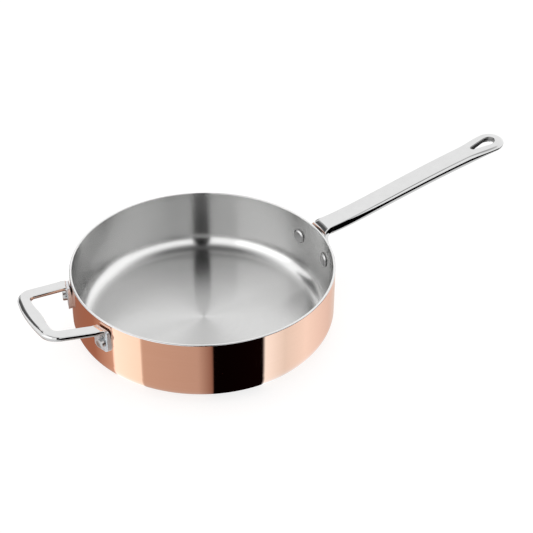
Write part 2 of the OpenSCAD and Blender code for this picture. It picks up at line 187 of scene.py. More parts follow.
# %% Table
# Paper: next to even to the eye, with a faint grain of nine spots in 10 mm, coarser than real fibres
GRAIN_MM = 10 / 9
VEIL_LEVEL, VEIL_SHARE, MIRRORED_TABLE = 1.12, 0.72, 1.25
table_material, tree = new_material("matt white table")
rays = add(tree, "ShaderNodeLightPath")
grain = add(tree, "ShaderNodeTexNoise", {"Scale": 1 / (GRAIN_MM * MM), "Detail": 2})
pale = mixed_colour(tree, grain.outputs["Fac"], colour("#FCFCFC"), colour("#FFFFFF"))
matt = add(tree, "ShaderNodeBsdfDiffuse", {"Color": pale})
bright = add(tree, "ShaderNodeEmission", {"Color": colour("#FFFFFF"), "Strength": MIRRORED_TABLE})
veil = add(tree, "ShaderNodeEmission", {"Color": colour("#FFFFFF"), "Strength": VEIL_LEVEL})
lift = worked_out(tree, "MULTIPLY", rays.outputs["Is Camera Ray"], VEIL_SHARE)
lit = add(tree, "ShaderNodeMixShader", {0: lift, 1: matt.outputs[0], 2: veil.outputs[0]})
mixed = add(tree, "ShaderNodeMixShader",
            {0: rays.outputs["Is Glossy Ray"], 1: lit.outputs[0], 2: bright.outputs[0]})
add(tree, "ShaderNodeOutputMaterial", {"Surface": mixed.outputs[0]})


def staged(name, points, faces, material):
    # A thing of the studio, given in mm: it isn't part of the pan
    mesh = bpy.data.meshes.new(name)
    mesh.from_pydata([Vector(p) * MM for p in points], [], faces)
    mesh.materials.append(material)
    made = bpy.data.objects.new(name, mesh)
    bpy.context.scene.collection.objects.link(made)
    return made


def flat_sheet(name, corners, material):
    return staged(name, corners, [list(range(len(corners)))], material)


def square(half, height):
    return [(-half, -half, height), (half, -half, height), (half, half, height), (-half, half, height)]


# The table lies a hair under the pan, so that the two faces don't fight for the same place
TABLE_HALF, TABLE_SUNK = 3000, 0.1
flat_sheet("table", square(TABLE_HALF, -TABLE_SUNK), table_material)
report("the table's side, mm", 2 * TABLE_HALF)

# %% [markdown]
# ## Cards that only the metal sees
# A photographer stands black and white cards round polished metal, just out of the picture. Here
# each card is a flat glowing mesh, hidden from the camera and from every ray but a mirrored one. So
# it lights nothing and shades nothing, and may even stand where it would block the view.

# %% A card
FLAG_BLACK, PITCH_BLACK = "#030303", "#000000"


def only_mirrored(made):
    made.visible_camera = made.visible_diffuse = made.visible_shadow = made.visible_transmission = False
    return made


def shine_with(tree, shade, strength):
    shine = add(tree, "ShaderNodeEmission", {"Color": shade, "Strength": strength})
    add(tree, "ShaderNodeOutputMaterial", {"Surface": shine.outputs[0]})


def card(name, corners, hex_code, strength=1):
    material, tree = new_material(name)
    shine_with(tree, colour(hex_code), strength)
    return only_mirrored(flat_sheet(name, corners, material))


def out_from_axis(tree):
    # How far a point lies from the pan's axis, in metres
    place = add(tree, "ShaderNodeTexCoord")
    flat = add(tree, "ShaderNodeVectorMath", {0: place.outputs["Object"], 1: (1, 1, 0)}, operation="MULTIPLY")
    return add(tree, "ShaderNodeVectorMath", {0: flat.outputs[0]}, operation="LENGTH").outputs["Value"]


# %% Ceiling
# A dark ceiling that fades to the bright walls: level faces of the handles that tilt a little show it
# Its height and half its side, where the dark ends and the light begins, and the dark's level
CEILING_H, CEILING_HALF, DARK_TO, LIGHT_FROM, DARK_LEVEL = 1600, 1700, 450, 1250, 0.14
ceiling_material, tree = new_material("grey ceiling")
fade = add(tree, "ShaderNodeMapRange",
           {0: out_from_axis(tree), "From Min": DARK_TO * MM, "From Max": LIGHT_FROM * MM,
            "To Min": DARK_LEVEL, "To Max": MIRRORED_LEVEL})
shine_with(tree, colour("#FFFFFF"), fade.outputs[0])
only_mirrored(flat_sheet("grey ceiling", square(CEILING_HALF, CEILING_H), ceiling_material))
report("the ceiling's height, mm", CEILING_H)

# %% [markdown]
# ## The table as the copper shows it
# The polished wall mirrors the table about the pan, and that draws the broad upright bands of pale
# orange, brown and black. The bands could be painted on the wall, but they would stay put when the
# view changes. So two flat rings of card lie on the table, one in front and one behind. Each tone
# starts at an angle about the pan.

# %% Tones of the two rings
# A pair of stops at nearly one angle is the crisp edge between two cards
FRONT_TONES = [(-196, "#78584B"), (-170, "#7E5F52"), (-158.1, "#A29086"), (-157.7, "#E4E8EC"),
               (-143.8, "#D0D8D8"), (-143.4, "#9E958F"), (-120, "#968D89"), (-114.2, "#6E5A54"),
               (-113.8, "#030101"), (-92.4, "#060101"), (-92.0, "#CDE3F0"), (-82, "#B8C6CD"),
               (-70, "#C6D0D6"), (-50, "#B4ADA9"), (-36, "#AEA69F")]
# Behind the pan, where the photograph doesn't look, a few plain cards of the same kind
BACK_TONES = [(10, "#C8C4C0"), (44, "#E4E8EC"), (52, "#968D89"), (76, "#8A807A"), (76.5, "#D8DCE0"),
              (112, "#C4C8CC"), (112.5, "#050303"), (130, "#050303"), (130.5, "#D0D4D8"), (158, "#A8A09A")]
report("tones in front and behind", (len(FRONT_TONES), len(BACK_TONES)))

# %% Where the rings' columns lie
# How far each ring reaches out from the pan and in under it, and its height over the table
FRONT_L, BACK_L, UNDER_L = 108, 420, 24
FRONT_RING_H, BACK_RING_H = 0.4, 0.3
# Shares of the tilt at which the rounded corner goes out of the camera's sight
CORNER_SHARES = (1, 0.85, 0.7, 0.5, 0.25, 0)


def landing(out, tilt, height):
    # Where a card at that height catches a camera ray that the polished corner has turned
    normal = math.cos(tilt) * out - math.sin(tilt) * Vector((0, 0, 1))
    place = (PAN_R - CORNER_R) * out + Vector((0, 0, CORNER_R)) + CORNER_R * normal
    ray = (place * MM - CAMERA_PLACE).normalized()
    ray -= 2 * ray.dot(normal) * normal
    return place + ray * ((height - place.z) / ray.z)


def front_column(out, height):
    # It follows the places where the camera's rays land when the rounded corner and then the straight
    # wall turn them, so each band's edge looks straight
    ray = out * PAN_R * MM - CAMERA_PLACE
    sight = Vector((ray.x, ray.y, 0)).normalized()
    ray.normalize()
    last_tilt = math.atan2(-ray.dot(out), -ray.z)
    under_corner = [landing(out, last_tilt * share, height) for share in CORNER_SHARES]
    away = sight - 2 * sight.dot(out) * out
    foot = out * PAN_R + Vector((0, 0, height))
    return [under_corner[0] + sight * UNDER_L, *under_corner, foot + away * FRONT_L]


def back_column(out, height):
    # It simply runs out from the pan's axis
    foot = out * PAN_R + Vector((0, 0, height))
    return [foot - out * UNDER_L, foot, foot + out * BACK_L]


report("points in a front column", len(front_column(Vector((0, -1, 0)), FRONT_RING_H)))

# %% Two rings of card
CARD_STEPS, CARD_STRENGTH = 352, 1.8


def strip_faces(columns, rows):
    starts = [rows * k + j for k in range(columns - 1) for j in range(rows - 1)]
    return [(a, a + 1, a + rows + 1, a + rows) for a in starts]


def tone_ramp(tree, all_tones):
    # The mesh carries the share of the way round, and the ramp turns it to the tone there
    first, last = all_tones[0][0], all_tones[-1][0]
    share_of = add(tree, "ShaderNodeAttribute", attribute_name="tone")
    ramp = add(tree, "ShaderNodeValToRGB", {0: share_of.outputs["Fac"]})
    stops = ramp.color_ramp.elements
    while len(stops) < len(all_tones):
        stops.new(1)
    for stop, (turn, hex_code) in zip(stops, all_tones):
        stop.position = (turn - first) / (last - first)
        stop.color = colour(hex_code)
    return ramp.outputs[0]


def ring_of_card(name, all_tones, column_at, height):
    first, last = all_tones[0][0], all_tones[-1][0]
    points, tones = [], []
    for k in range(CARD_STEPS + 1):
        share = k / CARD_STEPS
        turn = math.radians(first + (last - first) * share)
        column = column_at(Vector((math.cos(turn), math.sin(turn), 0)), height)
        points += column
        tones += [share] * len(column)
    material, tree = new_material(name)
    shine_with(tree, tone_ramp(tree, all_tones), CARD_STRENGTH)
    made = staged(name, points, strip_faces(CARD_STEPS + 1, len(column)), material)
    made.data.attributes.new("tone", "FLOAT", "POINT").data.foreach_set("value", tones)
    return only_mirrored(made)


front_ring = ring_of_card("card tones in front", FRONT_TONES, front_column, FRONT_RING_H)
back_ring = ring_of_card("card tones behind", BACK_TONES, back_column, BACK_RING_H)
report("faces of the two rings", len(front_ring.data.polygons) + len(back_ring.data.polygons))

# %% [markdown]
# ## Flags and boards farther out
# Black flags about the camera draw the dark upright band inside the pan and the black edges of the
# handles. A large white softbox at the side and two grey flags behind draw the lighter and darker
# parts of the liner's wall. One lamp for each would be simpler, but a lamp's mirror image has no crisp
# edge to place. Each card is given by its compass turn about the pan and the angle that it fills,
# because that is how one thinks when one walks round a table with a card.

# %% Cards that stand, and one that lies overhead


def compass(turn):
    # The direction out from the pan at a turn, 0 towards -y and 90 towards +x, and the one square to it
    angle = math.radians(turn)
    return Vector((math.sin(angle), -math.cos(angle), 0)), Vector((math.cos(angle), math.sin(angle), 0))


def standing_card(name, turn, width_angle, distance, low, high, hex_code, strength=1):
    # From one height to another, as wide as an angle seen from the pan
    out, side = compass(turn)
    half = distance * math.tan(math.radians(width_angle / 2))
    corners = [out * distance + side * s * half + Vector((0, 0, z))
               for s, z in ((-1, low), (1, low), (1, high), (-1, high))]
    return card(name, corners, hex_code, strength)


def lying_card(name, turn, width_angle, near, far, height, hex_code):
    # Level, from one distance to another, and wider farther out
    out, side = compass(turn)
    spread = math.tan(math.radians(width_angle / 2))
    corners = [out * distance + side * s * distance * spread + Vector((0, 0, height))
               for s, distance in ((-1, near), (1, near), (1, far), (-1, far))]
    return card(name, corners, hex_code)


# The distance of the standing cards, and the top of the flags. The flag overhead starts nearer, and
# runs out to the one about the camera.
CARD_FAR, FLAG_TOP, OVERHEAD_NEAR, OVERHEAD_H = 1500, 1900, 300, 1590
CAMERA_TURN, CAMERA_FLAG_ANGLE, CAMERA_FLAG_LOW = 333.7, 16.5, 60
standing_card("camera flag", CAMERA_TURN, CAMERA_FLAG_ANGLE, CARD_FAR, CAMERA_FLAG_LOW, FLAG_TOP,
              PITCH_BLACK)

# A long flag stands in front, and one lies flat on the table before it, up to the pan. The sides of
# both handles mirror them.
FRONT_Y, FRONT_LEFT, FRONT_RIGHT, FRONT_LOW, FRONT_HIGH = -1400, -500, 1700, -50, 600
TABLE_FLAG_H, TABLE_FLAG_RIGHT = 0.2, 1500
TABLE_FLAG_EDGE = [(FRONT_LEFT, FRONT_Y), (TABLE_FLAG_RIGHT, FRONT_Y), (TABLE_FLAG_RIGHT, -40), (430, -60),
                   (400, -112), (150, -88), (60, -200), (-120, -200), (-400, -300)]
card("front flag", [(FRONT_LEFT, FRONT_Y, FRONT_LOW), (FRONT_RIGHT, FRONT_Y, FRONT_LOW),
                    (FRONT_RIGHT, FRONT_Y, FRONT_HIGH), (FRONT_LEFT, FRONT_Y, FRONT_HIGH)], FLAG_BLACK)
card("flag on the table", [(x, y, TABLE_FLAG_H) for x, y in TABLE_FLAG_EDGE], FLAG_BLACK)
lying_card("camera flag overhead", CAMERA_TURN, CAMERA_FLAG_ANGLE, OVERHEAD_NEAR, CARD_FAR, OVERHEAD_H,
           PITCH_BLACK)

# Name, turn, angle that it fills, bottom, top, tone and strength
SIDE_AND_BACK = [("side softbox", 272, 56, 500, 1550, "#FFFFFF", 2.4),
                 ("back flag", 203.5, 23, 450, FLAG_TOP, "#707070", 1),
                 ("edge of the back flag", 187, 10, 450, FLAG_TOP, "#B8B8B8", 1)]
for name, turn, width_angle, low, high, hex_code, strength in SIDE_AND_BACK:
    standing_card(name, turn, width_angle, CARD_FAR, low, high, hex_code, strength)
report("cards and flags farther out", 4 + len(SIDE_AND_BACK))

# %% [markdown]
# ## Finishes
# All of the pan is bare metal, so one function makes every finish, and each differs in tone, in
# roughness and in how it was worked. A wheel or a brush leaves fine lines. They could be a picture
# wrapped on the mesh, but noise that is drawn out along the way of brushing needs no wrapping and
# stays sharp from any distance. Where no lines show, soft patches do.

# %% Brush lines and polishing patches
# Lines break up a little along their length, at this depth of detail
DETAIL = 3
# A polishing wheel leaves soft patches, three in 25 mm
PATCH_MM = 25 / 3


def fine_lines(tree, across_mm, along_mm):
    # Noise that is drawn out round the pan's axis: fine lines along each circle, wherever it lies
    place = add(tree, "ShaderNodeTexCoord")
    split = add(tree, "ShaderNodeSeparateXYZ", {0: place.outputs["Object"]})
    across, along = 1 / (across_mm * MM), 1 / (along_mm * MM)
    x, y, r, z = (worked_out(tree, "MULTIPLY", place_part, scale)
                  for place_part, scale in ((split.outputs["X"], along), (split.outputs["Y"], along),
                                            (out_from_axis(tree), across), (split.outputs["Z"], across)))
    vector = add(tree, "ShaderNodeCombineXYZ", {"X": x, "Y": y, "Z": r})
    lines = add(tree, "ShaderNodeTexNoise",
                {"Vector": vector.outputs[0], "W": z, "Scale": 1, "Detail": DETAIL}, noise_dimensions="4D")
    return lines.outputs["Fac"]


def soft_patches(tree):
    place = add(tree, "ShaderNodeTexCoord")
    patches = add(tree, "ShaderNodeTexNoise",
                  {"Vector": place.outputs["Object"], "Scale": 1 / (PATCH_MM * MM), "Detail": DETAIL})
    return patches.outputs["Fac"]


report("size of a patch, mm", round(PATCH_MM, 1))

# %% A bare metal
# The pan's floor is brushed coarser than its corner and wall, so it is a little rougher, and its colour is
# painted a little darker as shade. The change lies between these two radii.
FLOOR_IN_R, FLOOR_OUT_R, FLOOR_ROUGHER, FLOOR_SHADE_TONE = 108, 120, 0.05, "#E0E0E0"
# In the shader's terms, brushing round the axis turns the stretched highlight by a quarter
QUARTER_TURN = 0.25


def rougher_and_shaded_floor(tree, tone, rough):
    inside = add(tree, "ShaderNodeMapRange",
                 {0: out_from_axis(tree), "From Min": FLOOR_IN_R * MM, "From Max": FLOOR_OUT_R * MM,
                  "To Min": 1, "To Max": 0}).outputs[0]
    # Painted shade: the floor's colour is multiplied darker than the wall's
    darker = mixed_colour(tree, inside, tone, colour(FLOOR_SHADE_TONE), "MULTIPLY")
    return darker, worked_out(tree, "MULTIPLY_ADD", inside, FLOOR_ROUGHER, rough)


def metal(name, dark, light, roughness, lines=None, stretched=0.0, floor=False):
    # lines: millimetres across one and along one; stretched: how far brushing draws out a highlight
    material, tree = new_material(name)
    factor = fine_lines(tree, *lines) if lines else soft_patches(tree)
    tone = mixed_colour(tree, factor, colour(dark), colour(light))
    low, high = roughness
    rough = add(tree, "ShaderNodeMapRange", {0: factor, "To Min": low, "To Max": high}).outputs[0]
    if floor:
        tone, rough = rougher_and_shaded_floor(tree, tone, rough)
    inputs = {"Base Color": tone, "Metallic": 1, "Roughness": rough, "Anisotropic": stretched}
    if stretched:
        round_axis = add(tree, "ShaderNodeTangent", direction_type="RADIAL", axis="Z")
        inputs["Tangent"] = round_axis.outputs[0]
        inputs["Anisotropic Rotation"] = QUARTER_TURN
    shader = add(tree, "ShaderNodeBsdfPrincipled", inputs)
    add(tree, "ShaderNodeOutputMaterial", {"Surface": shader.outputs[0]})
    return material


# %% [markdown]
# ## The body's three finishes
# The copper outside is buffed to a mirror. The stainless steel inside is turned on a machine while a
# belt brushes it, so its lines run in circles. Such lines spread a highlight across themselves: that
# draws the soft wedges of light and dark that meet in the floor's middle. They are made by the
# shader's own anisotropy, round the pan's axis, because bumps fine enough for that would need a
# far larger picture.

# %% Copper, liner and rim
# Copper gives the eye warm mirrored bands with crisp edges. Its buffing lines, some hundredths of a
# millimetre apart, would not show, so they are drawn 0.5 mm across.
copper = metal("polished copper", "#F4C0A4", "#FAC9B0", (0.05, 0.08), (0.5, 60))
# The liner gives a cool silk sheen, streaked along circles, with no clear mirror image. Its brush
# lines are about 0.1 mm apart, and are drawn at 0.35 mm so that they show.
liner_steel = metal("circular brushed stainless steel", "#C2C2C1", "#D0D0D0", (0.18, 0.21), (0.35, 25),
                    stretched=0.97, floor=True)
# The bare core at the ground rim gives one thin silver line round the copper. Its grinding lines are
# drawn coarser than real ones too.
rim_metal = metal("polished bare rim", "#B8B8B8", "#C6C6C6", (0.16, 0.22), (0.3, 25))
report("finishes of the body", [made.name for made in (copper, liner_steel, rim_metal)])

# %% [markdown]
# ## The castings' and rivets' finishes
# Cast stainless steel is tumbled, ground and polished to a mirror, but the wheel reaches only what
# stands out. What lies against the wall keeps a duller skin, and the hanging hole and the rivet heads'
# slopes are painted dark grey as shade. One material with a mask could tell these apart, but a second
# material on those faces is easier to read and to change.

# %% Cast steel and rivet steel
# A mirror polish gives the eye hard white and black edges along every curve of the handles
cast_steel = metal("mirror polished cast stainless steel", "#B0B0B0", "#B8B8B8", (0.05, 0.08))
# The skin that the casting mould leaves gives a soft pale grey at the loop's feet
satin_cast_steel = metal("as-cast satin stainless steel", "#C4C8CC", "#D2D6DA", (0.45, 0.52))
# The rivets are tumbled only: they give a soft silver spot with no mirror image
rivet_steel = metal("satin stainless steel", "#AEAEAE", "#BABABA", (0.26, 0.32))
# Painted shade: a darker grey on the walls of the hanging hole and on the rivet heads' slopes, so that they
# look deep
shade_painted_steel = metal("steel painted dark grey as shade", "#6A6A6A", "#767676", (0.24, 0.3))
# Shade in the joint round a rivet head gives the head a thin dark outline
joint_steel = metal("shaded joint round a rivet head", "#1E1E1E", "#282828", (0.4, 0.5))
riveted_finishes = (cast_steel, satin_cast_steel, rivet_steel, shade_painted_steel, joint_steel)
report("finishes of castings and rivets", [made.name for made in riveted_finishes])

# %% [markdown]
# ## Turned pieces
# The clad body and the rivets are turned: one profile, carried round an axis. Blender's Screw
# modifier does that too, but a geometry tree has named inputs and dresses the piece in its finish
# in the same step. The tree lays out a grid, gives each column of it one point of the profile, and
# turns each row of it about z.

# %% The tree that turns a profile
# Points closer than this, in metres, are one point
SAME_PLACE = 1e-6


def turning_tree():
    tree = bpy.data.node_groups.new("turn a profile about z", "GeometryNodeTree")
    face = tree.interface
    face.new_socket("Profile", in_out="INPUT", socket_type="NodeSocketGeometry")
    for name, kind in (("Points", "NodeSocketInt"), ("Segments", "NodeSocketInt"),
                       ("Finish", "NodeSocketMaterial")):
        face.new_socket(name, in_out="INPUT", socket_type=kind)
    face.new_socket("Piece", in_out="OUTPUT", socket_type="NodeSocketGeometry")
    given = add(tree, "NodeGroupInput").outputs
    rows = worked_out(tree, "ADD", given["Segments"], 1)
    grid = add(tree, "GeometryNodeMeshGrid", {"Vertices X": given["Points"], "Vertices Y": rows})
    index = add(tree, "GeometryNodeInputIndex").outputs[0]
    column = worked_out(tree, "FLOOR", worked_out(tree, "DIVIDE", index, rows))
    row = worked_out(tree, "MODULO", index, rows)
    turn = worked_out(tree, "MULTIPLY", worked_out(tree, "DIVIDE", row, given["Segments"]), 2 * math.pi)
    point = add(tree, "GeometryNodeInputPosition")
    picked = add(tree, "GeometryNodeSampleIndex",
                 {"Geometry": given["Profile"], "Index": column, "Value": point.outputs[0]},
                 data_type="FLOAT_VECTOR")
    turned = add(tree, "ShaderNodeVectorRotate",
                 {"Vector": picked.outputs[0], "Axis": (0, 0, 1), "Angle": turn})
    placed = add(tree, "GeometryNodeSetPosition",
                 {"Geometry": grid.outputs["Mesh"], "Position": turned.outputs[0]})
    closed = add(tree, "GeometryNodeMergeByDistance", {"Geometry": placed.outputs[0], "Distance": SAME_PLACE})
    whole = add(tree, "GeometryNodeRealizeInstances", {"Geometry": closed.outputs[0]})
    dressed = add(tree, "GeometryNodeSetMaterial",
                  {"Geometry": whole.outputs[0], "Material": given["Finish"]})
    add(tree, "NodeGroupOutput", {"Piece": dressed.outputs[0]})
    return tree


TURNING = turning_tree()
report("nodes in the turning tree", len(TURNING.nodes))

# %% A piece from a profile


def plain_object(name, mesh):
    made = bpy.data.objects.new(name, mesh)
    bpy.context.scene.collection.objects.link(made)
    return made


def applied(made):
    # The evaluated result as a plain mesh, with the modifiers gone
    bpy.context.view_layer.update()
    seen_now = made.evaluated_get(bpy.context.evaluated_depsgraph_get())
    mesh = bpy.data.meshes.new_from_object(seen_now)
    made.modifiers.clear()
    made.data = mesh
    mesh.name = made.name
    return made


def turned_piece(name, profile, segments, material):
    # profile: closed list of (radius, height) in mm, walked so that the material lies on its left
    points = profile + profile[:1]
    line = bpy.data.meshes.new(name)
    edges = [(i, i + 1) for i in range(len(points) - 1)]
    line.from_pydata([(r * MM, 0, z * MM) for r, z in points], edges, [])
    made = plain_object(name, line)
    modifier = made.modifiers.new("turning", "NODES")
    modifier.node_group = TURNING
    values = {"Points": len(points), "Segments": segments, "Finish": material}
    for item in TURNING.interface.items_tree:
        if item.item_type == "SOCKET" and item.in_out == "INPUT" and item.name in values:
            modifier[item.identifier] = values[item.name]
    return applied(made)


# %% A clean mesh that shades softly
# An edge shorter than this has no length, in metres, and a corner smaller than this no area, in
# square metres
NO_LENGTH, NO_AREA = 1e-7, 1e-9


def all_but_straight(vert):
    # A point partway along an edge of two faces, which would give them a sliver of no area to share
    if len(vert.link_edges) != 2:
        return False
    a, b = (edge.other_vert(vert).co - vert.co for edge in vert.link_edges)
    return a.cross(b).length < NO_AREA


def soft_shaded(made, sharp_degrees=35):
    shell = bmesh.new()
    shell.from_mesh(made.data)
    bmesh.ops.remove_doubles(shell, verts=shell.verts, dist=SAME_PLACE)
    bmesh.ops.dissolve_degenerate(shell, edges=shell.edges, dist=NO_LENGTH)
    bmesh.ops.dissolve_verts(shell, verts=[v for v in shell.verts if all_but_straight(v)])
    bmesh.ops.recalc_face_normals(shell, faces=shell.faces)
    shell.to_mesh(made.data)
    shell.free()
    made.data.shade_smooth()
    made.data.set_sharp_from_angle(angle=math.radians(sharp_degrees))
    return made


# %% [markdown]
# ## The clad body
# Copper outside, an aluminium core, and a steel liner inside, each bonded to the next. The sheet is
# rolled flat and pressed to a pan in one go, so all three follow one line at different depths. The rim
# is ground round, and there the bare core shows as a silver band. One turned shell would look
# the same from most sides, but three layers give the rim its line and can be taken apart.

# %% Profiles of the three layers
# The liner ends a little short of the rim's top, and starts its share of the round at this angle
LINER_SHORT, LINER_ROUND_FROM = 0.06, 128
CORE_ROUND_STEPS, LINER_ROUND_STEPS = 8, 6


def arc(cx, cz, r, start, end, steps):
    return [(cx + r * math.cos(math.radians(start + (end - start) * k / steps)),
             cz + r * math.sin(math.radians(start + (end - start) * k / steps))) for k in range(steps + 1)]


def bowl_line(depth, top, floor_steps=24, corner_steps=20, wall_steps=8):
    # From the axis out along the floor, round the corner and up the wall, at a depth in from the outside
    r, corner = PAN_R - depth, CORNER_R - depth
    floor = [((r - corner) * k / floor_steps, depth) for k in range(floor_steps)]
    wall = [(r, CORNER_R + (top - CORNER_R) * k / wall_steps) for k in range(1, wall_steps + 1)]
    return floor + arc(r - corner, CORNER_R, corner, -90, 0, corner_steps) + wall


low_rim = PAN_H - RIM_R
copper_profile = bowl_line(0, low_rim) + bowl_line(COPPER_T, low_rim)[::-1]
core_top = arc(PAN_R - RIM_R, low_rim, RIM_R, 0, 90, CORE_ROUND_STEPS)
core_profile = (bowl_line(COPPER_T, low_rim) + core_top
                + [(INNER_R + LINER_T, PAN_H)] + bowl_line(COPPER_T + CORE_T, low_rim)[::-1])
liner_top = ([(INNER_R + LINER_T, PAN_H - LINER_SHORT)]
             + arc(INNER_R + RIM_R, low_rim, RIM_R, LINER_ROUND_FROM, 180, LINER_ROUND_STEPS))
liner_profile = bowl_line(COPPER_T + CORE_T, low_rim) + liner_top + bowl_line(WALL_T, low_rim)[::-1][1:]
report("points in the three profiles", [len(p) for p in (copper_profile, core_profile, liner_profile)])

# %% Copper, core and liner
SEGMENTS = 360
copper_skin = turned_piece("copper_outside", copper_profile, SEGMENTS, copper)
core = turned_piece("aluminium_core_and_rim", core_profile, SEGMENTS, rim_metal)
liner = turned_piece("steel_inside", liner_profile, SEGMENTS, liner_steel)
for made, node, slot in ((copper_skin, "copper_skin", "copper"), (core, "aluminium_core", "core"),
                         (liner, "steel_liner", "liner")):
    soft_shaded(made, sharp_degrees=40)
    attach(made, "root")
    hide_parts(node)
report("faces of the body", sum(len(o.data.polygons) for o in (copper_skin, core, liner)))

# %% [markdown]
# ## The castings
# Both handles are investment castings, ground and polished to a mirror. Each is one closed surface
# through a row of sections: a level top that rolls over to a crease, a side that starts steeper there,
# and a rounded underside. Subdivision could round a coarse cage, but a polished casting shows every
# wave in its surface. So the sections follow formulas, which are the solid model's own, drawn
# finer, with the soft crown and the crease that the grinding leaves.

# %% Small rules shared by both castings
# Points round a corner, in the roll, and on half of the top
CORNER_N, ROLL_N, TOP_N = 18, 6, 5
# Rings in the flare, the grip, the rounded end, a leg, a bend and half of the bar
FLARE_N, GRIP_N, END_N, LEG_N, BEND_N, BAR_N = 14, 60, 24, 6, 16, 20


def mix(a, b, share):
    return a + (b - a) * share


def smooth(share):
    return share * share * (3 - 2 * share)


def limit01(share):
    return max(0, min(1, share))


def quarter(cx, cz, rx, rz, a0, a1):
    angles = [math.radians(mix(a0, a1, i / (CORNER_N - 1))) for i in range(CORNER_N)]
    return [(cx + rx * math.sin(a), cz + rz * math.cos(a)) for a in angles]


def flipped(points):
    return [(-y, z) for y, z in reversed(points)]


report("halfway in a smooth blend", smooth(0.5))

# %% A section through a casting
# How the top turns into the side: the top's tilt before it rolls over and at the crease, the roll's
# radius, the side's width, the tilt that the side starts from, and how far down it is widest.
# Tilts are in degrees, lengths in mm, and the last is a share of the thickness.
Edge = namedtuple("Edge", "crown roll roll_r side_w steep belly_share")
# The underside starts at this angle and takes this share of half the width
UNDER_ANGLE, UNDER_SHARE = 96, 0.5


def top_half(edge_y, edge_z, rise):
    # Half of the top, from near the middle out: level, or crowned by a small rise
    shares = [(j + 0.5) / TOP_N for j in range(TOP_N)]
    return [(edge_y * share, edge_z + rise * (1 - share * share)) for share in shares]


def section_side(half, bulge, thick, edge):
    crown, roll, steep = (math.radians(tilt) for tilt in (edge.crown, edge.roll, edge.steep))
    belly = edge.belly_share * thick
    drop = edge.roll_r * (math.cos(crown) - math.cos(roll))
    crease_y = half + bulge - edge.side_w
    round_x, round_z = edge.side_w / (1 - math.sin(steep)), (belly - drop) / math.cos(steep)
    under_x = UNDER_SHARE * (half + bulge)
    rolled = [(crease_y + edge.roll_r * (math.sin(a) - math.sin(roll)),
               edge.roll_r * (math.cos(a) - math.cos(crown)))
              for a in (mix(crown, roll, k / (ROLL_N - 1)) for k in range(ROLL_N))]
    side_n = CORNER_N - ROLL_N
    side = [(half + bulge - round_x + round_x * math.sin(a), round_z * math.cos(a) - belly)
            for a in (mix(steep, math.pi / 2, k / (side_n - 1)) for k in range(side_n))]
    first_y = rolled[0][0]
    rise = first_y * math.tan(crown / 2)
    points = (top_half(first_y, 0, rise) + rolled + side
              + quarter(half + bulge - under_x, -belly, under_x, thick - belly, UNDER_ANGLE, 180))
    # The crown's middle lies at the solid's flat top, and the rest a little lower
    return [(y, z - rise) for y, z in points]


def section(half, bulge_out, bulge_in, thick, edge_out, edge_in):
    inner = section_side(half, bulge_in, thick, edge_in)
    return section_side(half, bulge_out, thick, edge_out) + flipped(inner)


report("points in half a section", TOP_N + 2 * CORNER_N)

# %% From the flange to the neck
# The flange's thickness and soft edge, how far inside the wall the loft starts, and the depth of the
# spot face under a rivet's tail
FLANGE_T, SOFT_EDGE, SUNK_L, SPOT_DEPTH = 3.8, 0.6, 9, 0.3
WALL_FACE = PAN_R + FLANGE_T
# The power of the flare's curve along the top; underneath, each handle has its own
TOP_TIGHT = 0.7


def flange_side(y1, z1, r1, y2, z2, r2):
    # Half of a flange's outline: a round shoulder, a straight side that touches both, and a round foot
    dy, dz = y2 - y1, z2 - z1
    a = math.degrees(math.atan2(dy, dz) - math.acos((r1 - r2) / math.hypot(dy, dz))) % 360
    return top_half(y1, z1 + r1, 0) + quarter(y1, z1, r1, r1, 0, a) + quarter(y2, z2, r2, r2, a, 180)


def front_x(y, radius):
    return math.sqrt(max(0, radius * radius - y * y))


def flare_ring(neck, outline, hollow, t):
    # From the flange's outline, at t = 0, to the neck's section, at t = 90
    made = []
    for i, (at_neck, at_flange) in enumerate(zip(neck, outline)):
        k = min(i, len(neck) - 1 - i) - TOP_N
        tight = mix(TOP_TIGHT, hollow, smooth(limit01(k / (CORNER_N - 1))))
        spread = (1 - math.sin(math.radians(t))) ** tight
        y, z = mix(at_neck[1], at_flange[0], spread), mix(at_neck[2], at_flange[1], spread)
        made.append((mix(front_x(y, WALL_FACE), at_neck[0], 1 - math.cos(math.radians(t))), y, z))
    return made


def root_rings(outline, neck, back_x, hollow):
    face = [(front_x(y, WALL_FACE - SOFT_EDGE), y, z) for y, z in outline]
    return ([[(back_x, y, z) for y, z in outline], face]
            + [flare_ring(neck, outline, hollow, k * 90 / FLARE_N) for k in range(FLARE_N)])


report("the flange's face from the axis, mm", WALL_FACE)

# %% A closed loft, and cutters for it


def ring_faces(rings):
    n = len(rings[0])
    return [(j * n + i, j * n + (i + 1) % n, (j + 1) * n + (i + 1) % n, (j + 1) * n + i)
            for j in range(len(rings) - 1) for i in range(n)]


def mesh_object(name, points, faces):
    mesh = bpy.data.meshes.new(name)
    mesh.from_pydata([Vector(p) * MM for p in points], [], faces)
    return soft_shaded(plain_object(name, mesh))


def lofted(name, rings):
    # Both ends are closed by strips from side to side, because a fan would pinch the shading
    n = len(rings[0])
    faces = ring_faces(rings)
    for base in (0, (len(rings) - 1) * n):
        faces += [(base + i, base + i + 1, base + n - 2 - i, base + n - 1 - i) for i in range(n // 2 - 1)]
    return mesh_object(name, [p for ring in rings for p in ring], faces)


def prism(name, outline_of, levels, place):
    # A cutter: levels are (height, grown) pairs, and outline_of(grown) gives the outline there, in mm
    rings = [[place @ Vector((x, y, height)) for x, y in outline_of(grown)] for height, grown in levels]
    n = len(rings[0])
    caps = [tuple(range(n))[::-1], tuple(range((len(rings) - 1) * n, len(rings) * n))]
    return mesh_object(name, [p for ring in rings for p in ring], ring_faces(rings) + caps)


def circle_of(radius, steps):
    return lambda grown: [((radius + grown) * math.cos(2 * math.pi * k / steps),
                           (radius + grown) * math.sin(2 * math.pi * k / steps)) for k in range(steps)]


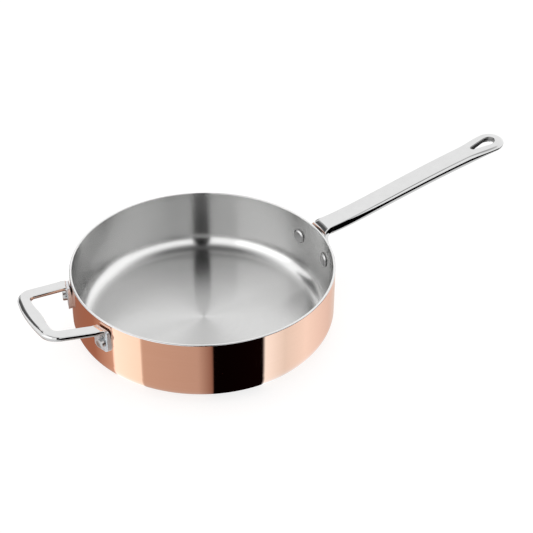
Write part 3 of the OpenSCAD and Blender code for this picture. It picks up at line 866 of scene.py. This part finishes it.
def cut(made, *cutters):
    for cutter in cutters:
        modifier = made.modifiers.new("cut", "BOOLEAN")
        modifier.operation, modifier.solver, modifier.object = "DIFFERENCE", "EXACT", cutter
        applied(made)
    for cutter in cutters:
        bpy.data.objects.remove(cutter)
    return soft_shaded(made, sharp_degrees=30)


# %% Room for the wall and the rivets
# A rivet's shank, its turned tail outside, and the air round each
SHANK_D, TAIL_D, TAIL_H, TAIL_GAP, SHANK_GAP = 6.5, 9, 4.6, 0.3, 0.05
TAIL_SEAT = WALL_FACE - SPOT_DEPTH
# How far the cutters reach past what they cut, and how finely they are drawn
SHANK_REACH, TAIL_REACH, WALL_LOW, WALL_HIGH = 12, 14, -5, 140
SHANK_STEPS, TAIL_STEPS, WALL_STEPS = 48, 64, 720


def at_rivet(turn, drop):
    return (Matrix.Rotation(math.radians(turn), 4, "Z") @ Matrix.Translation((0, 0, PAN_H - drop))
            @ Matrix.Rotation(math.radians(90), 4, "Y"))


def rivet_room(turn, drop):
    place = at_rivet(turn, drop)
    shank = prism("shank room", circle_of(SHANK_D / 2 + SHANK_GAP, SHANK_STEPS),
                  [(PAN_R - SHANK_REACH, 0), (PAN_R + SHANK_REACH, 0)], place)
    tail = prism("tail room", circle_of(TAIL_D / 2 + TAIL_GAP, TAIL_STEPS),
                 [(TAIL_SEAT, 0), (TAIL_SEAT + TAIL_REACH, 0)], place)
    return shank, tail


def wall_cutter():
    return prism("wall", circle_of(PAN_R + SEAT_GAP, WALL_STEPS), [(WALL_LOW, 0), (WALL_HIGH, 0)],
                 Matrix.Identity(4))


def cast_piece(made, node, satin_or_painted_shade, is_satin_or_painted_shade):
    # Polished all over but for some faces, which take a second material: the satin skin on the loop's feet,
    # and grey painted as shade in the long handle's hanging hole
    made.data.materials.clear()
    made.data.materials.append(cast_steel)
    made.data.materials.append(satin_or_painted_shade)
    for face in made.data.polygons:
        face.material_index = 1 if is_satin_or_painted_shade(face) else 0
    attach(made, "root")
    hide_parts(node)
    report(f"faces of {made.name}", len(made.data.polygons))


# %% [markdown]
# ## The long handle
# Its flat top follows a gentle S from the rim up to the tip. At the root it flares into a flange with
# two pads for the rivets, and at the tip it widens and thins round the hanging hole. A curve with a
# bevel would sweep one section along it, but here the section changes all the way. So the rings are
# worked out one by one: the top's line gives their height, and a few blends their width and thickness.

# %% Sizes of the long handle
# How far it reaches from the wall and rises over the rim, and its width at neck, grip and end
REACH, RISE, NECK_W, GRIP_W, END_W = 229.5, 43.4, 18.2, 15.6, 21.8
# Its thickness at root, grip and tip, and how far the sides bulge past the top's width
ROOT_T, GRIP_T, TIP_T, ROOT_BULGE, TIP_BULGE = 9.8, 11.2, 7.6, 2.4, 5
# The angle between its rivets, their drop from the rim, and the radius of a rivet's pad
RIVET_SPAN, RIVET_DROP, PAD_R = 22, 23.8, 10
# The flange's top: half its width, its shoulders' radius and its drop; and the flare's power beneath
FLANGE_TOP_HALF, FLANGE_TOP_R, FLANGE_TOP_DROP, ROOT_HOLLOW = 17, 7, 3.6, 1.6
# The neck's place out from the flange and up from the rim, and how long the tip takes to widen
NECK_OUT, NECK_RISE, END_BLEND_L = 9.5, 2.3, 34
TIP_X = PAN_R + REACH
NECK_X = WALL_FACE + NECK_OUT
LINE_L = TIP_X - NECK_X
END_HALF = END_W / 2
END_X = TIP_X - TIP_BULGE - END_HALF
BLEND_X = END_X - END_BLEND_L
# The S of the top: its slope at each end, and how far each end pulls it, as a share of its length
NECK_SLOPE, NECK_PULL_SHARE, TIP_SLOPE, TIP_PULL_SHARE = 6, 0.211, 6.8, 0.424
# The handle's edge: the side takes half of the bulge, and its widest line climbs from the root to the grip
CROWN, ROLL_TILT, ROLL_R, STEEP = 1, 20, 4, 54
SIDE_SHARE, ROOT_BELLY_SHARE, GRIP_BELLY_SHARE, BELLY_BLEND_SHARE = 0.5, 0.56, 0.36, 0.45
# The last ring of the tip stops a little before it would fold flat
LAST_TURN = 87
report("from neck to tip, mm", round(LINE_L, 1))

# %% The top's line


def slope_point(start, degrees, length):
    slope = math.radians(degrees)
    return (start[0] + length * math.cos(slope), start[1] + length * math.sin(slope))


neck_end, tip_end = (NECK_X, PAN_H + NECK_RISE), (TIP_X, PAN_H + RISE)
TOP_LINE = [neck_end, slope_point(neck_end, NECK_SLOPE, NECK_PULL_SHARE * LINE_L),
            slope_point(tip_end, TIP_SLOPE, -TIP_PULL_SHARE * LINE_L), tip_end]
HALVINGS = 24


def top_point(t):
    weights = ((1 - t) ** 3, 3 * t * (1 - t) ** 2, 3 * t * t * (1 - t), t ** 3)
    return [sum(w * p[k] for w, p in zip(weights, TOP_LINE)) for k in (0, 1)]


def top_z(x):
    # The line's height over a place, found by halving the stretch that holds it
    low, high = 0, 1
    for _ in range(HALVINGS):
        t = (low + high) / 2
        low, high = (t, high) if top_point(t)[0] < x else (low, t)
    return top_point(t)[1]


report("the top's height halfway, mm", round(top_z((NECK_X + TIP_X) / 2), 1))

# %% Long handle


def grip_share(x):
    return limit01((x - NECK_X) / (BLEND_X - NECK_X))


def end_share(x):
    return smooth(limit01((x - BLEND_X) / END_BLEND_L))


def handle_section(x, half):
    bulge = mix(ROOT_BULGE, TIP_BULGE, grip_share(x))
    thick = mix(mix(ROOT_T, GRIP_T, grip_share(x)), TIP_T, end_share(x))
    belly_share = mix(ROOT_BELLY_SHARE, GRIP_BELLY_SHARE, smooth(limit01(grip_share(x) / BELLY_BLEND_SHARE)))
    edge = Edge(CROWN, ROLL_TILT, ROLL_R, SIDE_SHARE * bulge, STEEP, belly_share)
    return section(half, bulge, bulge, thick, edge, edge)


def handle_ring(x):
    half = mix(mix(NECK_W, GRIP_W, grip_share(x)) / 2, END_HALF, end_share(x))
    return [(x, y, top_z(x) + z) for y, z in handle_section(x, half)]


def end_ring(degrees):
    # Round the tip the section turns about the middle of the rounded end
    lean, level = math.sin(math.radians(degrees)), math.cos(math.radians(degrees))
    x = END_X + END_HALF * lean
    return [(END_X + abs(y) * lean, y * level, top_z(x) + z) for y, z in handle_section(x, END_HALF)]


pad_y = PAN_R * math.sin(math.radians(RIVET_SPAN / 2))
flange = flange_side(FLANGE_TOP_HALF - FLANGE_TOP_R, PAN_H - FLANGE_TOP_DROP - FLANGE_TOP_R, FLANGE_TOP_R,
                     pad_y, PAN_H - RIVET_DROP, PAD_R)
rings = root_rings(flange + flipped(flange), handle_ring(NECK_X), PAN_R - SUNK_L, ROOT_HOLLOW)
rings += [handle_ring(mix(NECK_X, END_X, k / GRIP_N)) for k in range(GRIP_N)]
rings += [end_ring(LAST_TURN * k / END_N) for k in range(END_N + 1)]
long_handle = lofted("long_cast_handle", rings)
report("rings of the long handle", len(rings))

# %% [markdown]
# ## Hanging hole and the hollow at the root
# The hole is a teardrop, square to the top's slope there, with ground bevels and a shallow hollow about
# it underneath. The hollow at the root keeps the casting off the rim. All are cut from the finished
# loft, as a tool would, because rings that ran round a hole would bend the mirrored lines.

# %% Cuts in the long handle
# The teardrop's two radii and its length, the metal left between it and the tip, and its bevel
HOLE_BIG_R, HOLE_SMALL_R, HOLE_L, HOLE_LAND, HOLE_BEVEL = 6.2, 2.5, 28, 10.8, 0.8
BIG_END_STEPS, SMALL_END_STEPS = 56, 28
# How thick the metal stays about the hole, and how much wider the hollow underneath is
WEB_T, HOLLOW_MARGIN = 4.8, 3
HOLE_X = TIP_X - HOLE_LAND - HOLE_BIG_R
HOLE_GAP = HOLE_L - HOLE_BIG_R - HOLE_SMALL_R
# How far the cutter stands over the top and reaches under it, and its small step at the hollow's roof
HOLE_OVER, HOLE_UNDER, HOLLOW_STEP = 3, 16, 0.01


def hole_outline(grown):
    a = math.pi - math.acos((HOLE_BIG_R - HOLE_SMALL_R) / HOLE_GAP)
    big, small = HOLE_BIG_R + grown, HOLE_SMALL_R + grown
    ends = ((0, big, -a, a, BIG_END_STEPS), (-HOLE_GAP, small, a, 2 * math.pi - a, SMALL_END_STEPS))
    return [(x + r * math.cos(mix(a0, a1, k / n)), r * math.sin(mix(a0, a1, k / n)))
            for x, r, a0, a1, n in ends for k in range(n + 1)]


lean = math.atan((top_z(HOLE_X) - top_z(HOLE_X - HOLE_GAP)) / HOLE_GAP)
hole_place = Matrix.Translation((HOLE_X, 0, top_z(HOLE_X))) @ Matrix.Rotation(-lean, 4, "Y")
hole = prism("hanging hole", hole_outline,
             [(HOLE_OVER, HOLE_BEVEL + HOLE_OVER), (-HOLE_BEVEL, 0), (HOLE_BEVEL - WEB_T, 0),
              (-WEB_T, HOLE_BEVEL), (-WEB_T - HOLLOW_STEP, HOLLOW_MARGIN), (-HOLE_UNDER, HOLLOW_MARGIN)],
             hole_place)
# The hollow at the root: half its width, its gap from the wall, and its depth from the rim
SCOOP_HALF, SCOOP_GAP, SCOOP_DEPTH, SCOOP_STEPS = 17, 3.6, 13, 360
scoop_deep = PAN_R + SCOOP_GAP - front_x(SCOOP_HALF, PAN_R)
scoop_r = (SCOOP_HALF ** 2 + scoop_deep ** 2) / (2 * scoop_deep)
scoop = prism("root hollow", circle_of(scoop_r, SCOOP_STEPS), [(PAN_H - SCOOP_DEPTH, 0), (PAN_H + RISE, 0)],
              Matrix.Translation((PAN_R + SCOOP_GAP - scoop_r, 0, 0)))
cut(long_handle, wall_cutter(), scoop, hole, *rivet_room(RIVET_SPAN / 2, RIVET_DROP),
    *rivet_room(-RIVET_SPAN / 2, RIVET_DROP))
report("the hole's lean, degrees", round(math.degrees(lean), 1))

# %% The long handle's finish
hole_axis, hole_inverse = hole_place.to_3x3() @ Vector((0, 0, 1)), hole_place.inverted()
# A face that looks along the hole more than this belongs to the top or the hollow's roof
LOOKS_ALONG = 0.8


# The hanging hole's walls and bevels take the grey that is painted as shade
def in_the_hole(face):
    x, y, z = hole_inverse @ (face.center / MM)
    return (abs(face.normal.dot(hole_axis)) < LOOKS_ALONG and abs(y) < HOLE_BIG_R + HOLE_BEVEL
            and -HOLE_GAP - HOLE_SMALL_R - HOLE_BEVEL < x < HOLE_BIG_R + HOLE_BEVEL)


cast_piece(long_handle, "long_handle", shade_painted_steel, in_the_hole)

# %% [markdown]
# ## The loop handle
# Two legs leave the wall on rectangular feet, lean in a little, and turn into a fuller bar, whose top
# has a waist before each bend so that fingers find their place. One half is made, foot to middle, and
# its rings are mirrored. A Mirror modifier would do that too, but mirrored rings give one closed
# loft with no seam in the middle of the bar.

# %% Sizes of the loop handle
# How far it reaches from the wall, how wide it is there, and the widths of leg, bar and waist
LOOP_REACH, LOOP_W, LEG_W, BAR_W, BAR_WAIST_W = 49.6, 79.6, 10.6, 10, 8
# Thickness of bar and leg. Bulge of the bar's outside, which curves back a little towards the bends,
# of the leg's outside, and of the inside.
BAR_T, LEG_T, BAR_BULGE, BAR_CURVE, LEG_BULGE, INNER_BULGE = 7.6, 5, 4.6, 2.2, 1.5, 0.8
# The bends' radius, the rivets' shift outwards and drop from the rim, and the flare's power beneath
LOOP_CORNER_R, LOOP_RIVET_OUT, LOOP_RIVET_DROP, LEG_HOLLOW = 11, 0.6, 20.4, 2.2
# A foot's width, its shift inwards and its height, and the drops of foot and loop from the rim
FOOT_W, FOOT_SHIFT, FOOT_H, FOOT_TOP_DROP, LOOP_TOP_DROP = 17.6, 1.6, 24.4, 6, 4.1
# The radii of a foot's corners, and how long the leg's flare is
FOOT_TOP_R, FOOT_OUTER_R, FOOT_INNER_R, LEG_FLARE_L = 3.4, 3.6, 5, 7
# How the loop tilts up from the wall, and how the legs lean towards each other
TILT, LEAN = math.radians(7.4), math.radians(6)
LOOP_X = PAN_R + LOOP_REACH - BAR_W / 2
BEND_X = LOOP_X - LOOP_CORNER_R
LEG_END_X = BEND_X + LOOP_CORNER_R * math.sin(LEAN)
BEND_Y = LOOP_W / 2 - (LEG_END_X - PAN_R) * math.tan(LEAN) - LOOP_CORNER_R * math.cos(LEAN)
BEND_L = LOOP_CORNER_R * (math.pi / 2 - LEAN)
WAIST_SHARE = 0.7
WAIST_AT = WAIST_SHARE * BEND_Y
BAR_EDGE = Edge(6, 34, 6, 2.0, 60, 0.46)
LEG_EDGE = Edge(2, 20, 2, 0.9, 56, 0.6)
INNER_EDGE = Edge(2, 20, 1.5, 0.8, 42, 0.46)
report("half of the straight bar, mm", round(BEND_Y, 1))

# %% Rings of the loop


def loop_top(x):
    return PAN_H - LOOP_TOP_DROP + (x - WALL_FACE) * math.tan(TILT)


def loop_ring(x, y, turn, half, bulge, thick, legness=0):
    # legness: 0 with the bar's outer edge, 1 with the leg's
    made = []
    edge = Edge(*(mix(bar, leg, legness) for bar, leg in zip(BAR_EDGE, LEG_EDGE)))
    for out, z in section(half, bulge, INNER_BULGE, thick, edge, INNER_EDGE):
        px = x + out * math.cos(turn)
        made.append((px, y + out * math.sin(turn), loop_top(px) + z))
    return made


def leg_ring(x):
    y = LOOP_W / 2 - (x - PAN_R) * math.tan(LEAN)
    return loop_ring(x, y, math.pi / 2 - LEAN, LEG_W / 2, LEG_BULGE, LEG_T, 1)


def bar_half(along):
    inward = smooth(limit01(along / WAIST_AT))
    outward = smooth(limit01((along - WAIST_AT) / (BEND_Y + BEND_L - WAIST_AT)))
    return mix(mix(BAR_W, BAR_WAIST_W, inward), LEG_W, outward) / 2


def bar_outer_bulge(y):
    return BAR_BULGE + BAR_W / 2 - bar_half(y) - BAR_CURVE * (y / BEND_Y) ** 2


def bend_ring(share):
    # share: 0 where the bar ends, 1 where the leg does
    turn = (math.pi / 2 - LEAN) * share
    bulge = mix(LEG_BULGE, bar_outer_bulge(BEND_Y), (1 - share) ** 2)
    legness = smooth(share)
    return loop_ring(BEND_X + LOOP_CORNER_R * math.cos(turn), BEND_Y + LOOP_CORNER_R * math.sin(turn), turn,
                     bar_half(BEND_Y + BEND_L * share), bulge, mix(BAR_T, LEG_T, legness), legness)


def foot_side(corner):
    half, top = FOOT_W / 2, PAN_H - FOOT_TOP_DROP
    return flange_side(half - FOOT_TOP_R, top - FOOT_TOP_R, FOOT_TOP_R,
                       half - corner, top - FOOT_H + corner, corner)


report("half widths of the bar at its middle and waist, mm", (bar_half(0), bar_half(WAIST_AT)))

# %% Loop handle
foot_y = LOOP_W / 2 + LOOP_RIVET_OUT - FOOT_SHIFT
foot = [(y + foot_y, z) for y, z in foot_side(FOOT_OUTER_R) + flipped(foot_side(FOOT_INNER_R))]
leg_x = front_x(LOOP_W / 2, WALL_FACE) + LEG_FLARE_L
rings = root_rings(foot, leg_ring(leg_x), front_x(LOOP_W / 2 + FOOT_W / 2, PAN_R) - SUNK_L, LEG_HOLLOW)
rings += [leg_ring(mix(leg_x, LEG_END_X, k / LEG_N)) for k in range(LEG_N)]
rings += [bend_ring(1 - k / BEND_N) for k in range(BEND_N)]
rings += [loop_ring(LOOP_X, y, 0, bar_half(y), bar_outer_bulge(y), BAR_T)
          for y in (BEND_Y * (1 - k / BAR_N) for k in range(BAR_N + 1))]
rings += [[(x, -y, z) for x, y, z in ring] for ring in rings[-2::-1]]
loop_handle = lofted("loop_cast_handle", [[(-x, -y, z) for x, y, z in ring] for ring in rings])
loop_rivet_turn = math.degrees(math.asin((LOOP_W / 2 + LOOP_RIVET_OUT) / PAN_R))
# Towards the top, the back of a foot leans away from the wall, as a casting's draft does
DRAFT_L, DRAFT_GAP = 10, 1.5
foot_top = PAN_H - FOOT_TOP_DROP
draft = prism("back draft", circle_of(PAN_R, WALL_STEPS),
              [(foot_top - DRAFT_L, 0), (foot_top + DRAFT_L, 2 * DRAFT_GAP)], Matrix.Identity(4))
cut(loop_handle, wall_cutter(), draft, *rivet_room(180 + loop_rivet_turn, LOOP_RIVET_DROP),
    *rivet_room(180 - loop_rivet_turn, LOOP_RIVET_DROP))
# The feet's faces, from the wall to just past the flange, keep the casting's skin
SKIN_OUT = 1
cast_piece(loop_handle, "helper_handle", satin_cast_steel,
           lambda face: face.center.xy.length < (WALL_FACE + SKIN_OUT) * MM)

# %% [markdown]
# ## Rivets
# Four solid rivets, each with a broad sloped head inside the pan and a short turned tail outside it.
# They come from the same turning tree as the body, because a rivet is turned too. A flat back would
# leave gaps at the curved wall, so the back of each head is then bent to fit it.

# %% A rivet's profile
# The head's diameter and height, the width of its slope, and how far down the slope ends
HEAD_D, HEAD_H, HEAD_SLOPE, HEAD_EDGE_SHARE = 15, 2.2, 2, 0.65
FACE = INNER_R - HEAD_H
# The round between face and slope reaches in and out by these, and is this deep at its outer end
ROUND_IN, ROUND_OUT, ROUND_DEEP = 0.5, 0.3, 0.12
# The same at the head's edge, and the tail's rounded end with a point halfway round
EDGE_IN, EDGE_ROUND, TAIL_ROUND, TAIL_HALFWAY = 0.25, 0.2, 0.6, 0.18
slope_r, edge_z, tail_end = HEAD_D / 2 - HEAD_SLOPE, FACE + HEAD_EDGE_SHARE * HEAD_H, TAIL_SEAT + TAIL_H
rivet_profile = [(0, FACE), (slope_r - ROUND_IN, FACE), (slope_r + ROUND_OUT, FACE + ROUND_DEEP),
                 (HEAD_D / 2 - EDGE_IN, edge_z - EDGE_ROUND), (HEAD_D / 2, edge_z + EDGE_ROUND),
                 (HEAD_D / 2, INNER_R), (SHANK_D / 2, INNER_R), (SHANK_D / 2, TAIL_SEAT),
                 (TAIL_D / 2, TAIL_SEAT), (TAIL_D / 2, tail_end - TAIL_ROUND),
                 (TAIL_D / 2 - TAIL_HALFWAY, tail_end - TAIL_HALFWAY),
                 (TAIL_D / 2 - TAIL_ROUND, tail_end), (0, tail_end)]
report("points in a rivet's profile", len(rivet_profile))

# %% Four rivets
# Steps round a rivet, how close a point must be to the back of the head and how far out from the
# shank to count as the back's, and the width of the shaded joint
RIVET_STEPS, BACK_CLOSE, SHANK_CLEAR, JOINT_W = 96, 0.01, 0.1, 0.3


def fit_back(rivet):
    # The points on the back of the head move to the curved wall
    for vertex in rivet.data.vertices:
        x, y, z = vertex.co / MM
        if abs(z - INNER_R) < BACK_CLOSE and math.hypot(x, y) > SHANK_D / 2 + SHANK_CLEAR:
            vertex.co.z = (front_x(y, INNER_R) - SEAT_GAP) * MM


def dress_rivet(rivet):
    # The slope is painted darker than the face as shade, and the edge is painted dark as the joint's shade
    rivet.data.materials.append(shade_painted_steel)
    rivet.data.materials.append(joint_steel)
    for face in rivet.data.polygons:
        out = face.center.xy.length / MM
        if out > slope_r + ROUND_OUT:
            face.material_index = 2 if out > HEAD_D / 2 - JOINT_W else 1


for node, turn, drop in (("long_handle_left_rivet", RIVET_SPAN / 2, RIVET_DROP),
                         ("long_handle_right_rivet", -RIVET_SPAN / 2, RIVET_DROP),
                         ("helper_left_rivet", 180 + loop_rivet_turn, LOOP_RIVET_DROP),
                         ("helper_right_rivet", 180 - loop_rivet_turn, LOOP_RIVET_DROP)):
    rivet = turned_piece(node + "_piece", rivet_profile, RIVET_STEPS, rivet_steel)
    fit_back(rivet)
    dress_rivet(rivet)
    place = at_rivet(turn, drop)
    place.translation *= MM
    rivet.data.transform(place)
    soft_shaded(rivet, sharp_degrees=28)
    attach(rivet, "root")
    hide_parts(node)
    report(f"faces of {rivet.name}", len(rivet.data.polygons))
